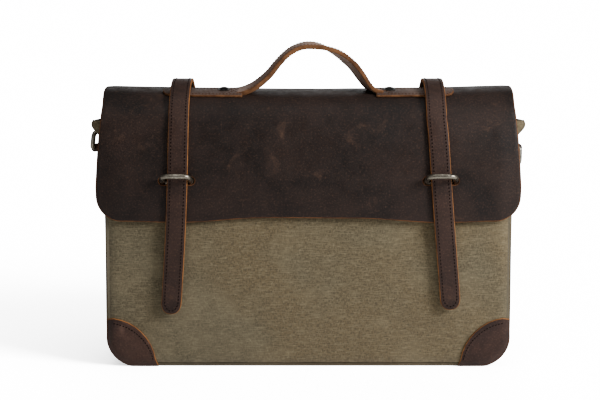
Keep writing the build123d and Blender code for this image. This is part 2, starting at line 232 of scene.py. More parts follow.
def slab(name, outline, place, thick, materials, step=3 * MM, rim_step=None, holes=(), bevel=0.45 * MM,
         hold=None):
    """A closed sheet of even thickness over any outline. place(u, v, h) puts sheet coordinates in space,
    h above the inner face. The materials are those of the outer face, the cut edge and the inner face."""
    rim_step = rim_step or step
    loops = [[Vector(p) for p in loop] for loop in (outline, *holes)]
    rings = []
    for i, loop in enumerate(loops):
        loop = resample(loop, rim_step)
        if (signed_area(loop) > 0) != (i == 0):
            loop.reverse()
        rings.append(loop)
    inner = [moved_in(r, bevel, hold) for r in rings]
    part = [moved_in(r, bevel * 0.3, hold) for r in rings]
    points, tris = flat_mesh(inner, step)
    verts, uvs, faces, index = [], [], [], []

    def add(p, h):
        verts.append(place(p.x, p.y, h))
        uvs.append((p.x, p.y))
        return len(verts) - 1

    top = [add(p, thick) for p in points]
    low = [add(p, 0.0) for p in points]
    for a, b, c in tris:
        faces += [(top[a], top[b], top[c]), (low[a], low[c], low[b])]
        index += [0, 2]
    first = 0
    for ring, mid, tip in zip(inner, part, rings):
        n = len(ring)
        rows = [[top[first + i] for i in range(n)]]
        rows += [[add(p, thick - bevel * 0.3) for p in mid], [add(p, thick - bevel) for p in tip]]
        if thick > 3 * bevel:
            rows.append([add(p, thick / 2) for p in tip])
        rows += [[add(p, bevel) for p in tip], [add(p, bevel * 0.3) for p in mid]]
        rows.append([low[first + i] for i in range(n)])
        for one, two in zip(rows, rows[1:]):
            for i in range(n):
                j = (i + 1) % n
                faces.append((one[i], two[i], two[j], one[j]))
                index.append(1)
        first += n
    probe = points[len(points) // 2]
    up = place(probe.x, probe.y, thick) - place(probe.x, probe.y, 0.0)
    du = place(probe.x + 1e-4, probe.y, 0.0) - place(probe.x, probe.y, 0.0)
    dv = place(probe.x, probe.y + 1e-4, 0.0) - place(probe.x, probe.y, 0.0)
    if du.cross(dv).dot(up) < 0:
        faces = [tuple(reversed(f)) for f in faces]
    materials = [materials[0], materials[min(1, len(materials) - 1)], materials[-1]]
    sheet = mesh_object(name, verts, faces, uvs, index, materials)
    if hold:
        sheet.data.set_sharp_from_angle(angle=math.radians(60))
    return sheet


def tube(name, path, radius, material, sides=10):
    """A round bead along 3-D points, with flat ends."""
    pts = [Vector(p) for p in path]
    n = len(pts)
    verts, faces, rings = [], [], []
    last = None
    for i, p in enumerate(pts):
        t = (pts[min(i + 1, n - 1)] - pts[max(i - 1, 0)]).normalized()
        if last is None:
            last = t.orthogonal().normalized()
        side = (last - t * last.dot(t)).normalized()
        last = side
        up = t.cross(side)
        ring = []
        for k in range(sides):
            a = 2 * math.pi * k / sides
            ring.append(len(verts))
            verts.append(p + side * math.cos(a) * radius + up * math.sin(a) * radius)
        rings.append(ring)
    for one, two in zip(rings, rings[1:]):
        faces += [(one[k], one[(k + 1) % sides], two[(k + 1) % sides], two[k]) for k in range(sides)]
    faces += [tuple(reversed(rings[0])), tuple(rings[-1])]
    return mesh_object(name, verts, faces, None, None, [material])


# A stitch's profile: place along it, from end to end, and thickness there.
CAPSULE = [(-1.0, 0.45), (-0.72, 0.9), (-0.3, 1.0), (0.3, 1.0), (0.72, 0.9), (1.0, 0.45)]


def stitches(name, runs, material, length=2.1 * MM, pitch=3.4 * MM, thread=0.55 * MM, sink=0.25):
    """Rows of sewn stitches. Each run is a function of t, 0 to 1, giving (point, normal), and its length."""
    verts, faces = [], []
    for run, total in runs:
        count = max(1, int(total / pitch))
        for i in range(count):
            t = (i + 0.5) / count
            dt = 0.5 * length / total
            (a, na), (b, nb) = run(t - dt), run(t + dt)
            along = (b - a) / 2
            normal = (na + nb).normalized()
            side = normal.cross(along).normalized()
            centre = (a + b) / 2
            first = len(verts)
            for d, width in CAPSULE:
                dip = (d * d) * thread * 0.8
                base = centre + along * d + normal * (thread * sink - dip)
                for k in range(6):
                    ang = math.pi * k / 3
                    out = side * math.cos(ang) + normal * math.sin(ang) * 0.8
                    verts.append(base + out * thread * width)
            for r in range(len(CAPSULE) - 1):
                for k in range(6):
                    p, q = first + r * 6 + k, first + r * 6 + (k + 1) % 6
                    faces.append((p, p + 6, q + 6, q))
            faces.append(tuple(first + k for k in range(6)))
            end = first + (len(CAPSULE) - 1) * 6
            faces.append(tuple(end + 5 - k for k in range(6)))
    return mesh_object(name, verts, faces, None, None, [material])


def row_on(place, points, h):
    """A stitched row that follows points in sheet coordinates, at height h on a sheet."""
    line = [Vector(p) for p in points]
    spots = [place(p.x, p.y, h) for p in line]
    cum = [0.0]
    for a, b in zip(spots, spots[1:]):
        cum.append(cum[-1] + (b - a).length)
    total = cum[-1]

    def run(t):
        d = t * total
        i = min(max(int(np.searchsorted(cum, d)) - 1, 0), len(line) - 2)
        f = (d - cum[i]) / (cum[i + 1] - cum[i])
        p = line[i].lerp(line[i + 1], f)
        here = place(p.x, p.y, h)
        return here, (place(p.x, p.y, h + 1e-4) - here).normalized()

    return run, total


def arc(cx, cy, r, a0, a1, n=10):
    steps = [math.radians(a0 + (a1 - a0) * i / n) for i in range(n + 1)]
    return [(cx + r * math.cos(a), cy + r * math.sin(a)) for a in steps]


# ---------------------------------------------------------------- materials
class Nodes:
    """Short calls for building a node material. Coordinates are in metres."""

    def __init__(self, name, uv=False):
        self.material = bpy.data.materials.new(name)
        self.material.use_nodes = True
        self.tree = self.material.node_tree
        self.shader = self.tree.nodes["Principled BSDF"]
        coords = self.tree.nodes.new("ShaderNodeTexCoord")
        self.coords = coords.outputs["UV" if uv else "Object"]

    def link(self, value, socket):
        if isinstance(value, bpy.types.NodeSocket):
            self.tree.links.new(value, socket)
        elif value is not None:
            socket.default_value = value

    def stretched(self, scale):
        node = self.tree.nodes.new("ShaderNodeMapping")
        self.link(self.coords, node.inputs["Vector"])
        node.inputs["Scale"].default_value = scale
        return node.outputs["Vector"]

    def noise(self, scale, detail=3.0, rough=0.55, distort=0.0, coords=None):
        node = self.tree.nodes.new("ShaderNodeTexNoise")
        self.link(coords or self.coords, node.inputs["Vector"])
        node.inputs["Scale"].default_value = scale
        node.inputs["Detail"].default_value = detail
        node.inputs["Roughness"].default_value = rough
        node.inputs["Distortion"].default_value = distort
        return node.outputs["Fac"]

    def cells(self, scale):
        node = self.tree.nodes.new("ShaderNodeTexVoronoi")
        node.feature = "DISTANCE_TO_EDGE"
        self.link(self.coords, node.inputs["Vector"])
        node.inputs["Scale"].default_value = scale
        return node.outputs["Distance"]

    def wave(self, scale, direction="X", distort=0.0):
        node = self.tree.nodes.new("ShaderNodeTexWave")
        node.bands_direction = direction
        self.link(self.coords, node.inputs["Vector"])
        node.inputs["Scale"].default_value = scale
        node.inputs["Distortion"].default_value = distort
        node.inputs["Detail"].default_value = 1.0
        return node.outputs["Fac"]

    def remap(self, value, low, high, out_low=0.0, out_high=1.0):
        node = self.tree.nodes.new("ShaderNodeMapRange")
        node.interpolation_type = "SMOOTHSTEP"
        self.link(value, node.inputs["Value"])
        for key, number in (("From Min", low), ("From Max", high), ("To Min", out_low), ("To Max", out_high)):
            node.inputs[key].default_value = number
        return node.outputs["Result"]

    def math(self, kind, a, b):
        node = self.tree.nodes.new("ShaderNodeMath")
        node.operation = kind
        self.link(a, node.inputs[0])
        self.link(b, node.inputs[1])
        return node.outputs["Value"]

    def mix(self, factor, a, b):
        node = self.tree.nodes.new("ShaderNodeMix")
        node.data_type = "RGBA"
        self.link(factor, node.inputs["Factor"])
        self.link(a, node.inputs[6])
        self.link(b, node.inputs[7])
        return node.outputs[2]

    def bump(self, height, strength, distance, normal=None):
        node = self.tree.nodes.new("ShaderNodeBump")
        node.inputs["Strength"].default_value = strength
        node.inputs["Distance"].default_value = distance
        self.link(height, node.inputs["Height"])
        if normal is not None:
            self.link(normal, node.inputs["Normal"])
        return node.outputs["Normal"]

    def finish(self, color, rough, normal=None, metallic=0.0, specular=0.5, sheen=0.0, sheen_rough=0.5):
        self.link(color, self.shader.inputs["Base Color"])
        self.link(rough, self.shader.inputs["Roughness"])
        self.link(metallic, self.shader.inputs["Metallic"])
        self.link(specular, self.shader.inputs["Specular IOR Level"])
        self.link(sheen, self.shader.inputs["Sheen Weight"])
        self.link(sheen_rough, self.shader.inputs["Sheen Roughness"])
        if normal is not None:
            self.link(normal, self.shader.inputs["Normal"])
        return self.material


def rgb(r, g, b):
    """An sRGB colour, 0 to 255, as a linear one."""
    lin = [(c / 255 / 12.92) if c <= 10 else ((c / 255 + 0.055) / 1.055) ** 2.4 for c in (r, g, b)]
    return (*lin, 1.0)


def pull_up_leather(name, dark, mid, worn, wear=0.35, uv=True, gloss=0.52, speckle=0.16):
    """Waxed pull-up leather: cloudy colour, fine pores, rubbed patches and short pale scratches."""
    n = Nodes(name, uv)
    cloud = n.noise(14.0, 5.0, 0.6, 0.6)
    small = n.noise(75.0, 4.0, 0.6, 0.3)
    rub = n.noise(26.0, 6.0, 0.7, 1.2)
    color = n.mix(n.remap(cloud, 0.32, 0.68), dark, mid)
    color = n.mix(n.remap(small, 0.45, 0.75, 0.0, 0.45), color, mid)
    color = n.mix(n.remap(rub, 0.56, 0.76, 0.0, wear), color, worn)
    streaks = n.noise(1.0, 3.0, 0.7, 0.4, n.stretched((38.0, 420.0, 420.0)))
    slant = n.noise(1.0, 3.0, 0.7, 0.8, n.stretched((300.0, 52.0, 300.0)))
    scratch = n.math("MAXIMUM", n.remap(streaks, 0.69, 0.78), n.remap(slant, 0.70, 0.79))
    color = n.mix(n.math("MULTIPLY", scratch, 0.28), color, worn)
    speck = n.noise(520.0, 4.0, 0.7)
    color = n.mix(n.remap(speck, 0.50, 0.74, 0.0, speckle), color, worn)
    color = n.mix(n.remap(speck, 0.46, 0.30, 0.0, speckle * 1.6), color, dark)
    pores = n.cells(900.0)
    grain = n.noise(1500.0, 3.0, 0.6)
    relief = n.math("ADD", n.math("MULTIPLY", n.remap(pores, 0.0, 0.35), 0.5), n.math("MULTIPLY", grain, 0.6))
    normal = n.bump(relief, 0.28, 0.25 * MM)
    normal = n.bump(n.noise(110.0, 4.0, 0.6), 0.22, 0.9 * MM, normal)
    rough = n.remap(n.math("ADD", small, n.math("MULTIPLY", rub, 0.6)), 0.55, 1.1, gloss - 0.08, gloss + 0.16)
    return n.finish(color, rough, normal, specular=0.26)


def raw_edge(name, base, deep):
    """A cut leather edge: fibrous, layered along the sheet and unfinished."""
    n = Nodes(name)
    fibre = n.noise(900.0, 4.0, 0.7)
    patch = n.noise(70.0, 3.0, 0.6)
    color = n.mix(n.remap(patch, 0.35, 0.7), base, deep)
    color = n.mix(n.remap(fibre, 0.4, 0.75, 0.0, 0.5), color, deep)
    return n.finish(color, 0.78, n.bump(fibre, 0.5, 0.3 * MM), specular=0.2)


def flesh_side(name, base):
    """The napped back of leather."""
    n = Nodes(name)
    nap = n.noise(1300.0, 4.0, 0.7)
    color = n.mix(n.remap(n.noise(40.0, 4.0, 0.6), 0.3, 0.7), base, tuple(c * 0.6 for c in base[:3]) + (1.0,))
    return n.finish(color, 0.92, n.bump(nap, 0.6, 0.35 * MM), specular=0.15, sheen=0.2)


def waxed_canvas(name, base, dark, pale, green, uv=True, thread=0.85 * MM):
    """Heavy cotton duck: single threads, heathered yarns, pale rubbed flecks and dusty wax bloom."""
    n = Nodes(name, uv)
    bands = math.pi / (10 * thread)  # a wave texture of scale s has 20 s / (2 pi) bands to the metre
    warp = n.wave(bands, "X")
    weft = n.wave(bands, "Y")
    across = n.noise(1.0, 2.0, 0.5, 0.0, n.stretched((260.0, 1500.0, 900.0)))
    down = n.noise(1.0, 2.0, 0.5, 0.0, n.stretched((1500.0, 260.0, 900.0)))
    yarn = n.math("ADD", n.math("MULTIPLY", across, 0.5), n.math("MULTIPLY", down, 0.5))
    hue = n.mix(n.remap(n.noise(7.0, 3.0, 0.5, 0.4), 0.40, 0.62), base, green)
    color = n.mix(n.remap(yarn, 0.36, 0.62), dark, hue)
    slub = n.noise(1.0, 2.0, 0.5, 0.0, n.stretched((75.0, 820.0, 500.0)))
    color = n.mix(n.remap(slub, 0.50, 0.68, 0.0, 0.34), color, pale)
    heather = n.noise(420.0, 4.0, 0.7, 0.2)
    color = n.mix(n.remap(heather, 0.50, 0.72, 0.0, 0.55), color, pale)
    color = n.mix(n.remap(heather, 0.46, 0.30, 0.0, 0.45), color, dark)
    bloom = n.noise(16.0, 5.0, 0.62, 0.8)
    color = n.mix(n.remap(bloom, 0.45, 0.72, 0.0, 0.26), color, pale)
    soil = n.noise(9.0, 4.0, 0.6, 0.5, n.stretched((1.0, 1.7, 1.0)))
    color = n.mix(n.remap(soil, 0.5, 0.74, 0.0, 0.30), color, dark)
    fleck = n.noise(1.0, 2.0, 0.6, 0.0, n.stretched((260.0, 520.0, 400.0)))
    color = n.mix(n.remap(fleck, 0.70, 0.80, 0.0, 0.6), color, pale)
    relief = n.math("ADD", n.math("MULTIPLY", warp, 0.5), n.math("MULTIPLY", weft, 0.5))
    relief = n.math("ADD", relief, n.math("MULTIPLY", yarn, 1.2))
    normal = n.bump(relief, 0.45, 0.35 * MM)
    normal = n.bump(n.noise(60.0, 4.0, 0.55), 0.25, 1.2 * MM, normal)
    return n.finish(color, n.remap(heather, 0.3, 0.7, 0.78, 0.92), normal, specular=0.22, sheen=0.25,
                    sheen_rough=0.6)


def aged_metal(name, base, bright):
    """Dark plated wire, brighter where it has rubbed."""
    n = Nodes(name)
    wear = n.noise(160.0, 5.0, 0.65, 0.4)
    color = n.mix(n.remap(wear, 0.45, 0.7), base, bright)
    normal = n.bump(n.noise(700.0, 3.0, 0.6), 0.12, 0.15 * MM)
    return n.finish(color, n.remap(wear, 0.3, 0.75, 0.24, 0.44), normal, metallic=1.0)


def sewing_thread(name, color):
    n = Nodes(name)
    ply = n.wave(420.0, "DIAGONAL", 0.5)
    tint = n.mix(n.remap(n.noise(500.0), 0.35, 0.7), color, tuple(c * 0.55 for c in color[:3]) + (1.0,))
    return n.finish(tint, 0.75, n.bump(ply, 0.4, 0.2 * MM), specular=0.1)


def plain_cloth(name, base, thread=0.5 * MM):
    """A plain-woven cotton, for the lining and pockets."""
    n = Nodes(name)
    threads = n.math("ADD", n.wave(0.3 / thread, "X"), n.wave(0.3 / thread, "Z"))
    shade = tuple(c * 0.72 for c in base[:3]) + (1.0,)
    color = n.mix(n.remap(n.noise(900.0, 3.0, 0.6), 0.35, 0.65), shade, base)
    return n.finish(color, 0.88, n.bump(threads, 0.35, 0.2 * MM), specular=0.2, sheen=0.3)


FLAP = pull_up_leather("flap_leather", rgb(25, 18, 16), rgb(47, 34, 29), rgb(112, 82, 64), 0.34, speckle=0.34)
STRAP = pull_up_leather("strap_leather", rgb(38, 26, 22), rgb(66, 47, 40), rgb(124, 92, 74), 0.35,
                        speckle=0.34)
# The handle grip and strip are lighter than their leather's own tone: painted light for the light on their
# upward faces. Their pale third colour is partly rubbed wear and partly painted highlights.
GRIP = pull_up_leather("handle_leather", rgb(118, 90, 76), rgb(172, 140, 120), rgb(212, 188, 170), 0.7,
                       speckle=0.4)
STRIP = pull_up_leather("handle_strip_leather_painted_light", rgb(56, 43, 38), rgb(98, 78, 68), rgb(156, 136, 122), 0.6,
                        speckle=0.4)
PATCH = pull_up_leather("patch_leather", rgb(40, 27, 24), rgb(74, 52, 44), rgb(130, 98, 84), 0.6, speckle=0.3)
TAB = pull_up_leather("tab_leather", rgb(42, 28, 24), rgb(66, 47, 40), rgb(112, 80, 62), 0.4, uv=False)
EDGE = raw_edge("cut_edge", rgb(172, 112, 58), rgb(112, 68, 34))
GRIP_EDGE = raw_edge("handle_cut_edge", rgb(136, 92, 58), rgb(86, 54, 32))
DARK_EDGE = raw_edge("flap_cut_edge", rgb(132, 86, 52), rgb(80, 50, 32))
FLESH = flesh_side("flesh_side", rgb(86, 62, 46))
OLIVES = [rgb(120, 103, 71), rgb(78, 67, 46), rgb(158, 144, 112), rgb(110, 101, 76)]
CANVAS = waxed_canvas("waxed_canvas", *OLIVES)
CANVAS_BACK = plain_cloth("canvas_inner_face", rgb(100, 90, 68), 0.9 * MM)
WELT = waxed_canvas("welt_canvas", *OLIVES, uv=False)
METAL = aged_metal("dark_metal", rgb(142, 135, 122), rgb(206, 197, 180))
RIVET = aged_metal("rivet_metal", rgb(44, 41, 39), rgb(92, 88, 84))
BRASS = aged_metal("zip_brass", rgb(120, 96, 58), rgb(176, 148, 96))
THREAD = sewing_thread("brown_thread", rgb(24, 12, 10))
PALE_THREAD = sewing_thread("handle_thread", rgb(92, 62, 48))
LINING = plain_cloth("lining_cotton", rgb(122, 112, 92))
FOAM_CLOTH = plain_cloth("divider_cloth", rgb(84, 78, 66), 0.7 * MM)
BOARD = plain_cloth("board", rgb(60, 56, 50))

FINISH = {
    "lining": LINING, "slip_pocket": LINING, "zip_pocket": LINING, "zip_tape": FOAM_CLOTH,
    "bottom_board": BOARD, "zip_teeth": BRASS, "zip_slider": BRASS, "zip_pull": BRASS,
    "mouth_facing_front": TAB, "mouth_facing_back": TAB, "loop_tab_left": TAB, "loop_tab_right": TAB,
    "side_tab_left": TAB, "side_tab_right": TAB, "handle_backing_strip": TAB,
    "handle_rivets": RIVET, "rivet_washers": RIVET, "strap_loop_left": METAL, "strap_loop_right": METAL,
    "side_ring_left": METAL, "side_ring_right": METAL,
}
for node, material in FINISH.items():
    for slot in frame["nodes"][node].material_slots:
        slot.material = material


# ---------------------------------------------------------------- canvas body
FRONT_PATH = Profile((-44.6, -3.0), 98.8, [(257.0, -18.4)])
BACK_PATH = Profile((43.95, -3.0), 88.96, [(260.2, 3.44)])
CORNER_R = 30 * MM
CANVAS_T = 1.5 * MM
EAR_OUT, EAR_Z, EAR_HALF = 11.5 * MM, 246 * MM, 9 * MM  # the side seams stand out just below the mouth


def side_flare(z):
    """How far the side seams stand out past the body's own width at a height."""
    ear = EAR_OUT * bump(z, EAR_Z, EAR_HALF) ** 0.8
    waist = -1.8 * MM * bump(z, 135 * MM, 80 * MM)
    return ear + waist


def body_outline(inset=0.0, top=None):
    """The body's front outline, anticlockwise from its lower left, in x and z."""
    top = top or MOUTH_Z
    half, r = BODY_HALF - inset, CORNER_R - inset
    heights = [z * MM for z in (*range(40, 228, 6), *range(228, int(top / MM), 2))] + [top]
    right = [(half + side_flare(z), z) for z in heights]
    left = [(-x, z) for x, z in reversed(right)]
    low_right = arc(half - r, r + inset, r, -90, 0, 9)
    low_left = [(-x, z) for x, z in reversed(low_right)]
    return [*low_right, *right, *left, *low_left]


def edge_distance(x, z):
    """Distance in from the body's outline, for rounding the panels over at their seams."""
    half = BODY_HALF + side_flare(z)
    dx = half - abs(x)
    if z < CORNER_R and abs(x) > BODY_HALF - CORNER_R:
        corner = Vector((BODY_HALF - CORNER_R, CORNER_R))
        return CORNER_R - (Vector((abs(x), z)) - corner).length
    return min(dx, z)


def heights_to_s(path):
    """A table from height to distance along a panel's path."""
    s = np.linspace(0.0, path.length, 400)
    z = [path.at(float(v)).y for v in s]
    return lambda height: float(np.interp(height, z, s))


front_s, back_s = heights_to_s(FRONT_PATH), heights_to_s(BACK_PATH)


def puff(x, z, seed):
    """How far a panel's face stands out of its plain curve: full in the middle, pulled in at its seams."""
    d = edge_distance(x, z)
    seam = -3.4 * MM * (1 - ramp(d, -1 * MM, 11 * MM)) ** 2
    full = 1.5 * MM * ramp(d, 5 * MM, 70 * MM)
    soft = 0.9 * MM * wobble(x, z, seed, 0.075) + 0.45 * MM * wobble(x, z, seed + 5, 0.028)
    pucker = 0.5 * MM * wobble(x * 0.4, z, seed + 9, 0.011) * (1 - ramp(d, 3 * MM, 20 * MM))
    return seam + full + (soft + pucker) * ramp(d, 0.0, 9 * MM)


def front_face(x, z, h):
    """A point on the front panel; h is above its inner face."""
    p = FRONT_PATH.at(front_s(z), 0.0)
    lean = FRONT_PATH.at(front_s(z), -1.0) - p
    out = puff(x, z, 1.0) + h - CANVAS_T
    return Vector((x, MID_Y + p.x + lean.x * out, z + lean.y * out * 0.2))


def back_face(x, z, h):
    p = BACK_PATH.at(back_s(z), 0.0)
    out = puff(x, z, 31.0) * 0.7 + h - CANVAS_T
    return Vector((x, MID_Y + p.x + out, z))


class GussetStrip:
    """The sides and base in one: q runs down the left side, along the base and up the right; w is depth."""

    def __init__(self, top=MOUTH_Z):
        half, r = BODY_HALF, CORNER_R
        down = [(-half, z * MM) for z in range(int(top / MM), int(r / MM), -4)]
        turn = [(-x, z) for x, z in reversed(arc(half - r, r, r, -90, 0, 9))]
        base = [(x * MM, 0.0) for x in range(-int((half - r) / MM) + 6, int((half - r) / MM), 6)]
        line = down + turn + base
        line += [(-x, z) for x, z in reversed(down + turn)]
        self.line = np.array(line)
        step = np.linalg.norm(np.diff(self.line, axis=0), axis=1)
        self.q = np.concatenate([[0.0], np.cumsum(step)])
        self.length = float(self.q[-1])

    def face(self, q, w, h):
        x, z = (float(np.interp(q, self.q, self.line[:, i])) for i in (0, 1))
        eps = 1.5 * MM
        a, b = ([float(np.interp(q + e, self.q, self.line[:, i])) for i in (0, 1)] for e in (-eps, eps))
        tangent = Vector((b[0] - a[0], b[1] - a[1])).normalized()
        out = Vector((tangent.y, -tangent.x))
        front = front_face(math.copysign(BODY_HALF + side_flare(z), x), max(z, 0.0), CANVAS_T).y
        back = back_face(math.copysign(BODY_HALF + side_flare(z), x), max(z, 0.0), CANVAS_T).y
        depth = back - front
        side = abs(out.x)
        ease = math.sin(math.pi * min(max(w, 0.0), 1.0)) ** 0.6
        swell = (0.3 * MM * ease * side - 0.6 * MM * ease * (1 - side)
                 + side * ease * 0.5 * MM * wobble(w * 0.09, z, 51.0, 0.05))
        flare = side_flare(z) * side * (1 - ramp(w, 0.05, 0.6) * 0.8) * (1 - 0.5 * ramp(w, 0.5, 1.0))
        fold = -3.0 * MM * side * bump(w, 0.5, 0.22) * ramp(z, 120 * MM, 250 * MM)
        reach = swell + flare + fold + h - CANVAS_T
        return Vector((x + out.x * reach, front + depth * w, max(z + out.y * reach, 0.15 * MM)))


gusset = GussetStrip()
panels = []
outline = body_outline()
piece = slab("canvas_front_panel", outline, front_face, CANVAS_T, [CANVAS, CANVAS_BACK], 4 * MM)
panels.append((piece, ["front_panel"]))
piece = slab("canvas_back_panel", outline, back_face, CANVAS_T, [CANVAS, CANVAS_BACK], 5 * MM)
panels.append((piece, ["back_panel"]))
DEPTH = 0.1
strip = [(0.0, 0.0), (gusset.length, 0.0), (gusset.length, DEPTH), (0.0, DEPTH)]
piece = slab("canvas_gusset", strip, lambda u, v, h: gusset.face(u, v / DEPTH, h), CANVAS_T,
             [CANVAS, CANVAS_BACK], 3 * MM)
panels.append((piece, ["gusset_left", "gusset_right", "bottom_panel"]))
for piece, nodes in panels:
    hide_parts(*nodes)
    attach(piece, "bag")

WELT_R = 1.1 * MM
for name, face in (("seam_welt_front", front_face), ("seam_welt_back", back_face)):
    line = []
    for x, z in resample(body_outline(), 4 * MM, closed=False):
        p = face(x, z, CANVAS_T * 0.4)
        p.z = max(p.z, WELT_R * 1.02)
        line.append(p)
    cut = next(i for i, p in enumerate(line) if p.z > MOUTH_Z - 2 * MM)
    end = max(i for i, p in enumerate(line) if p.z > MOUTH_Z - 2 * MM)
    path = line[end:] + line[:cut + 1]
    piece = tube(name, path, WELT_R, WELT, 8)
    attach(piece, "bag")


def seam_shade_line(face, name):
    """A dark thread-coloured line just above the floor, between the two corner patches. It marks the seam
    between panel and base; its dark colour is painted shade for the shadow in that seam's groove.
    """
    line = [face(x * MM, 3.4 * MM, CANVAS_T * 0.85) for x in range(-154, 155, 4)]
    piece = tube(name, line, 0.65 * MM, THREAD, 6)
    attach(piece, "bag")


# Painted shade: dark lines for the shadow in the groove of the base seam, front and back.
seam_shade_line(front_face, "seam_shade_line_front")
seam_shade_line(back_face, "seam_shade_line_back")


# ---------------------------------------------------------------- flap
FLAP_T = 2.2 * MM
HINGE_AT = 61.3  # the sewn band runs this far below the hinge line
FLAP_PATH = Profile(
    (43.6, 196.0), 91.6,
    [(49.3, 0.8), (12.0, 5.6), (28.8, 75.0), (42.2, 22.0), (36.65, 50.0), (34.9, 20.0), (64.5, 5.0)],
    HINGE_AT * MM,
)
FLAP_END = FLAP_PATH.length
FLAP_CORNER_R = 25 * MM
CUT_S = 24 * MM  # the flap's two parts meet here, behind the crest
SHOULDER = (76 * MM, 108 * MM)  # the front shoulder bends over this stretch
SLOT_HALF, SLOT_TALL, SLOT_BELOW = 17.6 * MM, 7.6 * MM, 1.6 * MM


def s_of_height(z, low=0.1, high=0.2):
    """Distance along the flap at which its front reaches a height."""
    for _ in range(40):
        mid = (low + high) / 2
        if FLAP_PATH.at(mid).y > z:
            low = mid
        else:
            high = mid
    return mid


# Distance along the flap, and its half width there.
FLAP_HALF_AT = [(-62, 205.5), (0, 206.5), (50, 206.6), (70, 205.6), (92, 204.2), (112, 205.2), (150, 208.2),
                (178, 210.0), (190, 210.1), (210, 209.4)]


def flap_half(s):
    """The flap's half width: widest near its lower edge, drawn in at the shoulder."""
    s_at, half_at = zip(*FLAP_HALF_AT)
    return float(np.interp(s / MM, s_at, half_at)) * MM


def flap_lift(x, s):
    """How far the flap stands off its plain curve: slack, edges that droop or kick, and a pressed crest."""
    a = abs(x) / (205 * MM)
    slack = 0.9 * MM * wobble(x, s, 3.0, 0.10) + 0.35 * MM * wobble(x, s, 8.0, 0.035)
    on_top = ramp(s, 20 * MM, 34 * MM) * (1 - ramp(s, 66 * MM, 88 * MM))
    crest = on_top * (2.3 * MM * (a ** 2) - 1.3 * MM * bump(x, 15 * MM, 75 * MM) + 0.6 * MM)
    droop = -0.5 * MM * ramp(abs(x), 198 * MM, 208 * MM) * on_top
    kick = 1.6 * MM * ramp(s, 150 * MM, 207 * MM) * wobble(x, 0.0, 13.0, 0.16)
    hem = -0.8 * MM * bump(s, FLAP_END, 14 * MM)
    side = -2.2 * MM * ramp(abs(x), 186 * MM, 212 * MM) * ramp(s, 100 * MM, 150 * MM)
    fade = ramp(s, -20 * MM, 16 * MM)
    quiet = 1.0
    for strip_x in (-100 * MM, 100 * MM):
        quiet *= 1 - 0.85 * bump(s, 66 * MM, 24 * MM) * bump(x, strip_x, 54 * MM)
    return (slack * quiet + crest * quiet + droop + kick + hem + side) * fade


def flap_face(x, s, h):
    p = FLAP_PATH.at(s, flap_lift(x, s) + h)
    return Vector((x, MID_Y + p.x, p.y))


def hem_drop(x):
    """How much lower the edge hangs than the plain cut: less between the straps, more outside them."""
    return (-2.4 + 4.6 * ramp(abs(x), 45 * MM, 128 * MM) - 1.2 * ramp(abs(x), 140 * MM, 182 * MM)) * MM


def flap_outline(s0, s1):
    """Edge of the flap between two distances, in x and s, with round lower corners where it hangs."""
    side = [(flap_half(s * MM), s * MM) for s in range(int(s0 / MM), int((s1 - 0.03) / MM), 5)]
    side[0] = (flap_half(s0), s0)
    r = FLAP_CORNER_R
    if s1 < FLAP_END:
        side.append((flap_half(s1), s1))
        return [(-x, s) for x, s in side] + [(x, s) for x, s in reversed(side)]
    side = [p for p in side if p[1] < s1 - r]
    straight = flap_half(s1) - r
    corner = arc(straight, s1 + hem_drop(straight) - r, r, 0, 90, 10)
    low = []
    for i in range(1, 40):
        x = straight * (1 - i / 20)
        low.append((x, s1 + hem_drop(x) + 0.5 * MM * wobble(x, 0.0, 17.0, 0.06)))
    right = side + corner
    return right + low + [(-x, s) for x, s in reversed(right)]


def slot_hole(side):
    """A round-ended slot in the flap, a little below the middle of the loop that comes through it."""
    low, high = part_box(f"strap_loop_{side}")
    x, z = (low[0] + high[0]) / 2, (low[2] + high[2]) / 2
    s = s_of_height(z - SLOT_BELOW)
    r = SLOT_TALL / 2
    flat = SLOT_HALF - r
    turns = np.linspace(-math.pi / 2, math.pi / 2, 9)
    right = [(x + flat + r * math.cos(t), s + r * math.sin(t)) for t in turns]
    left = [(x - flat - r * math.cos(t), s + r * math.sin(t)) for t in reversed(turns)]
    return right + left


slots = [slot_hole(side) for side in SIDES]


def ends_at(*values):
    return lambda p: any(abs(p.y - v) < 1e-5 for v in values)


flap_rear = slab("flap_rear_leather", flap_outline(-HINGE_AT * MM, CUT_S), flap_face, FLAP_T,
                 [FLAP, DARK_EDGE, FLESH], 4.5 * MM, hold=ends_at(CUT_S))
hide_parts("flap_back")
flap_main = slab("flap_leather", flap_outline(CUT_S, FLAP_END), flap_face, FLAP_T,
                 [FLAP, DARK_EDGE, FLESH], 3.2 * MM, holes=slots, bevel=0.9 * MM, hold=ends_at(CUT_S))
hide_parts("flap_top", "flap_front")


def bend_rear(piece):
    """Bakes the piece's placement into its mesh. Two points across the hinge line behind the crest are found
    but not used.
    """
    a, b = FLAP_PATH.at(-9 * MM), FLAP_PATH.at(19 * MM)
    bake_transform(piece)


def bend_shoulder(piece):
    """Bakes the piece's placement into its mesh. Two points across the front shoulder are found but not used.
    """
    a, b = (FLAP_PATH.at(s) for s in SHOULDER)
    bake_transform(piece)


bend_rear(flap_rear)
bend_shoulder(flap_main)

rows = []
for s in ((4 - HINGE_AT) * MM, -6 * MM):
    rows.append(row_on(flap_face, [(x * MM, s) for x in range(-201, 202, 6)], FLAP_T))
for side in (-1, 1):
    rows.append(row_on(flap_face, [(side * 202 * MM, s * MM) for s in range(-57, -5, 4)], FLAP_T))
piece = stitches("flap_back_stitching", rows, THREAD, 3.0 * MM, 4.4 * MM)
bend_rear(piece)


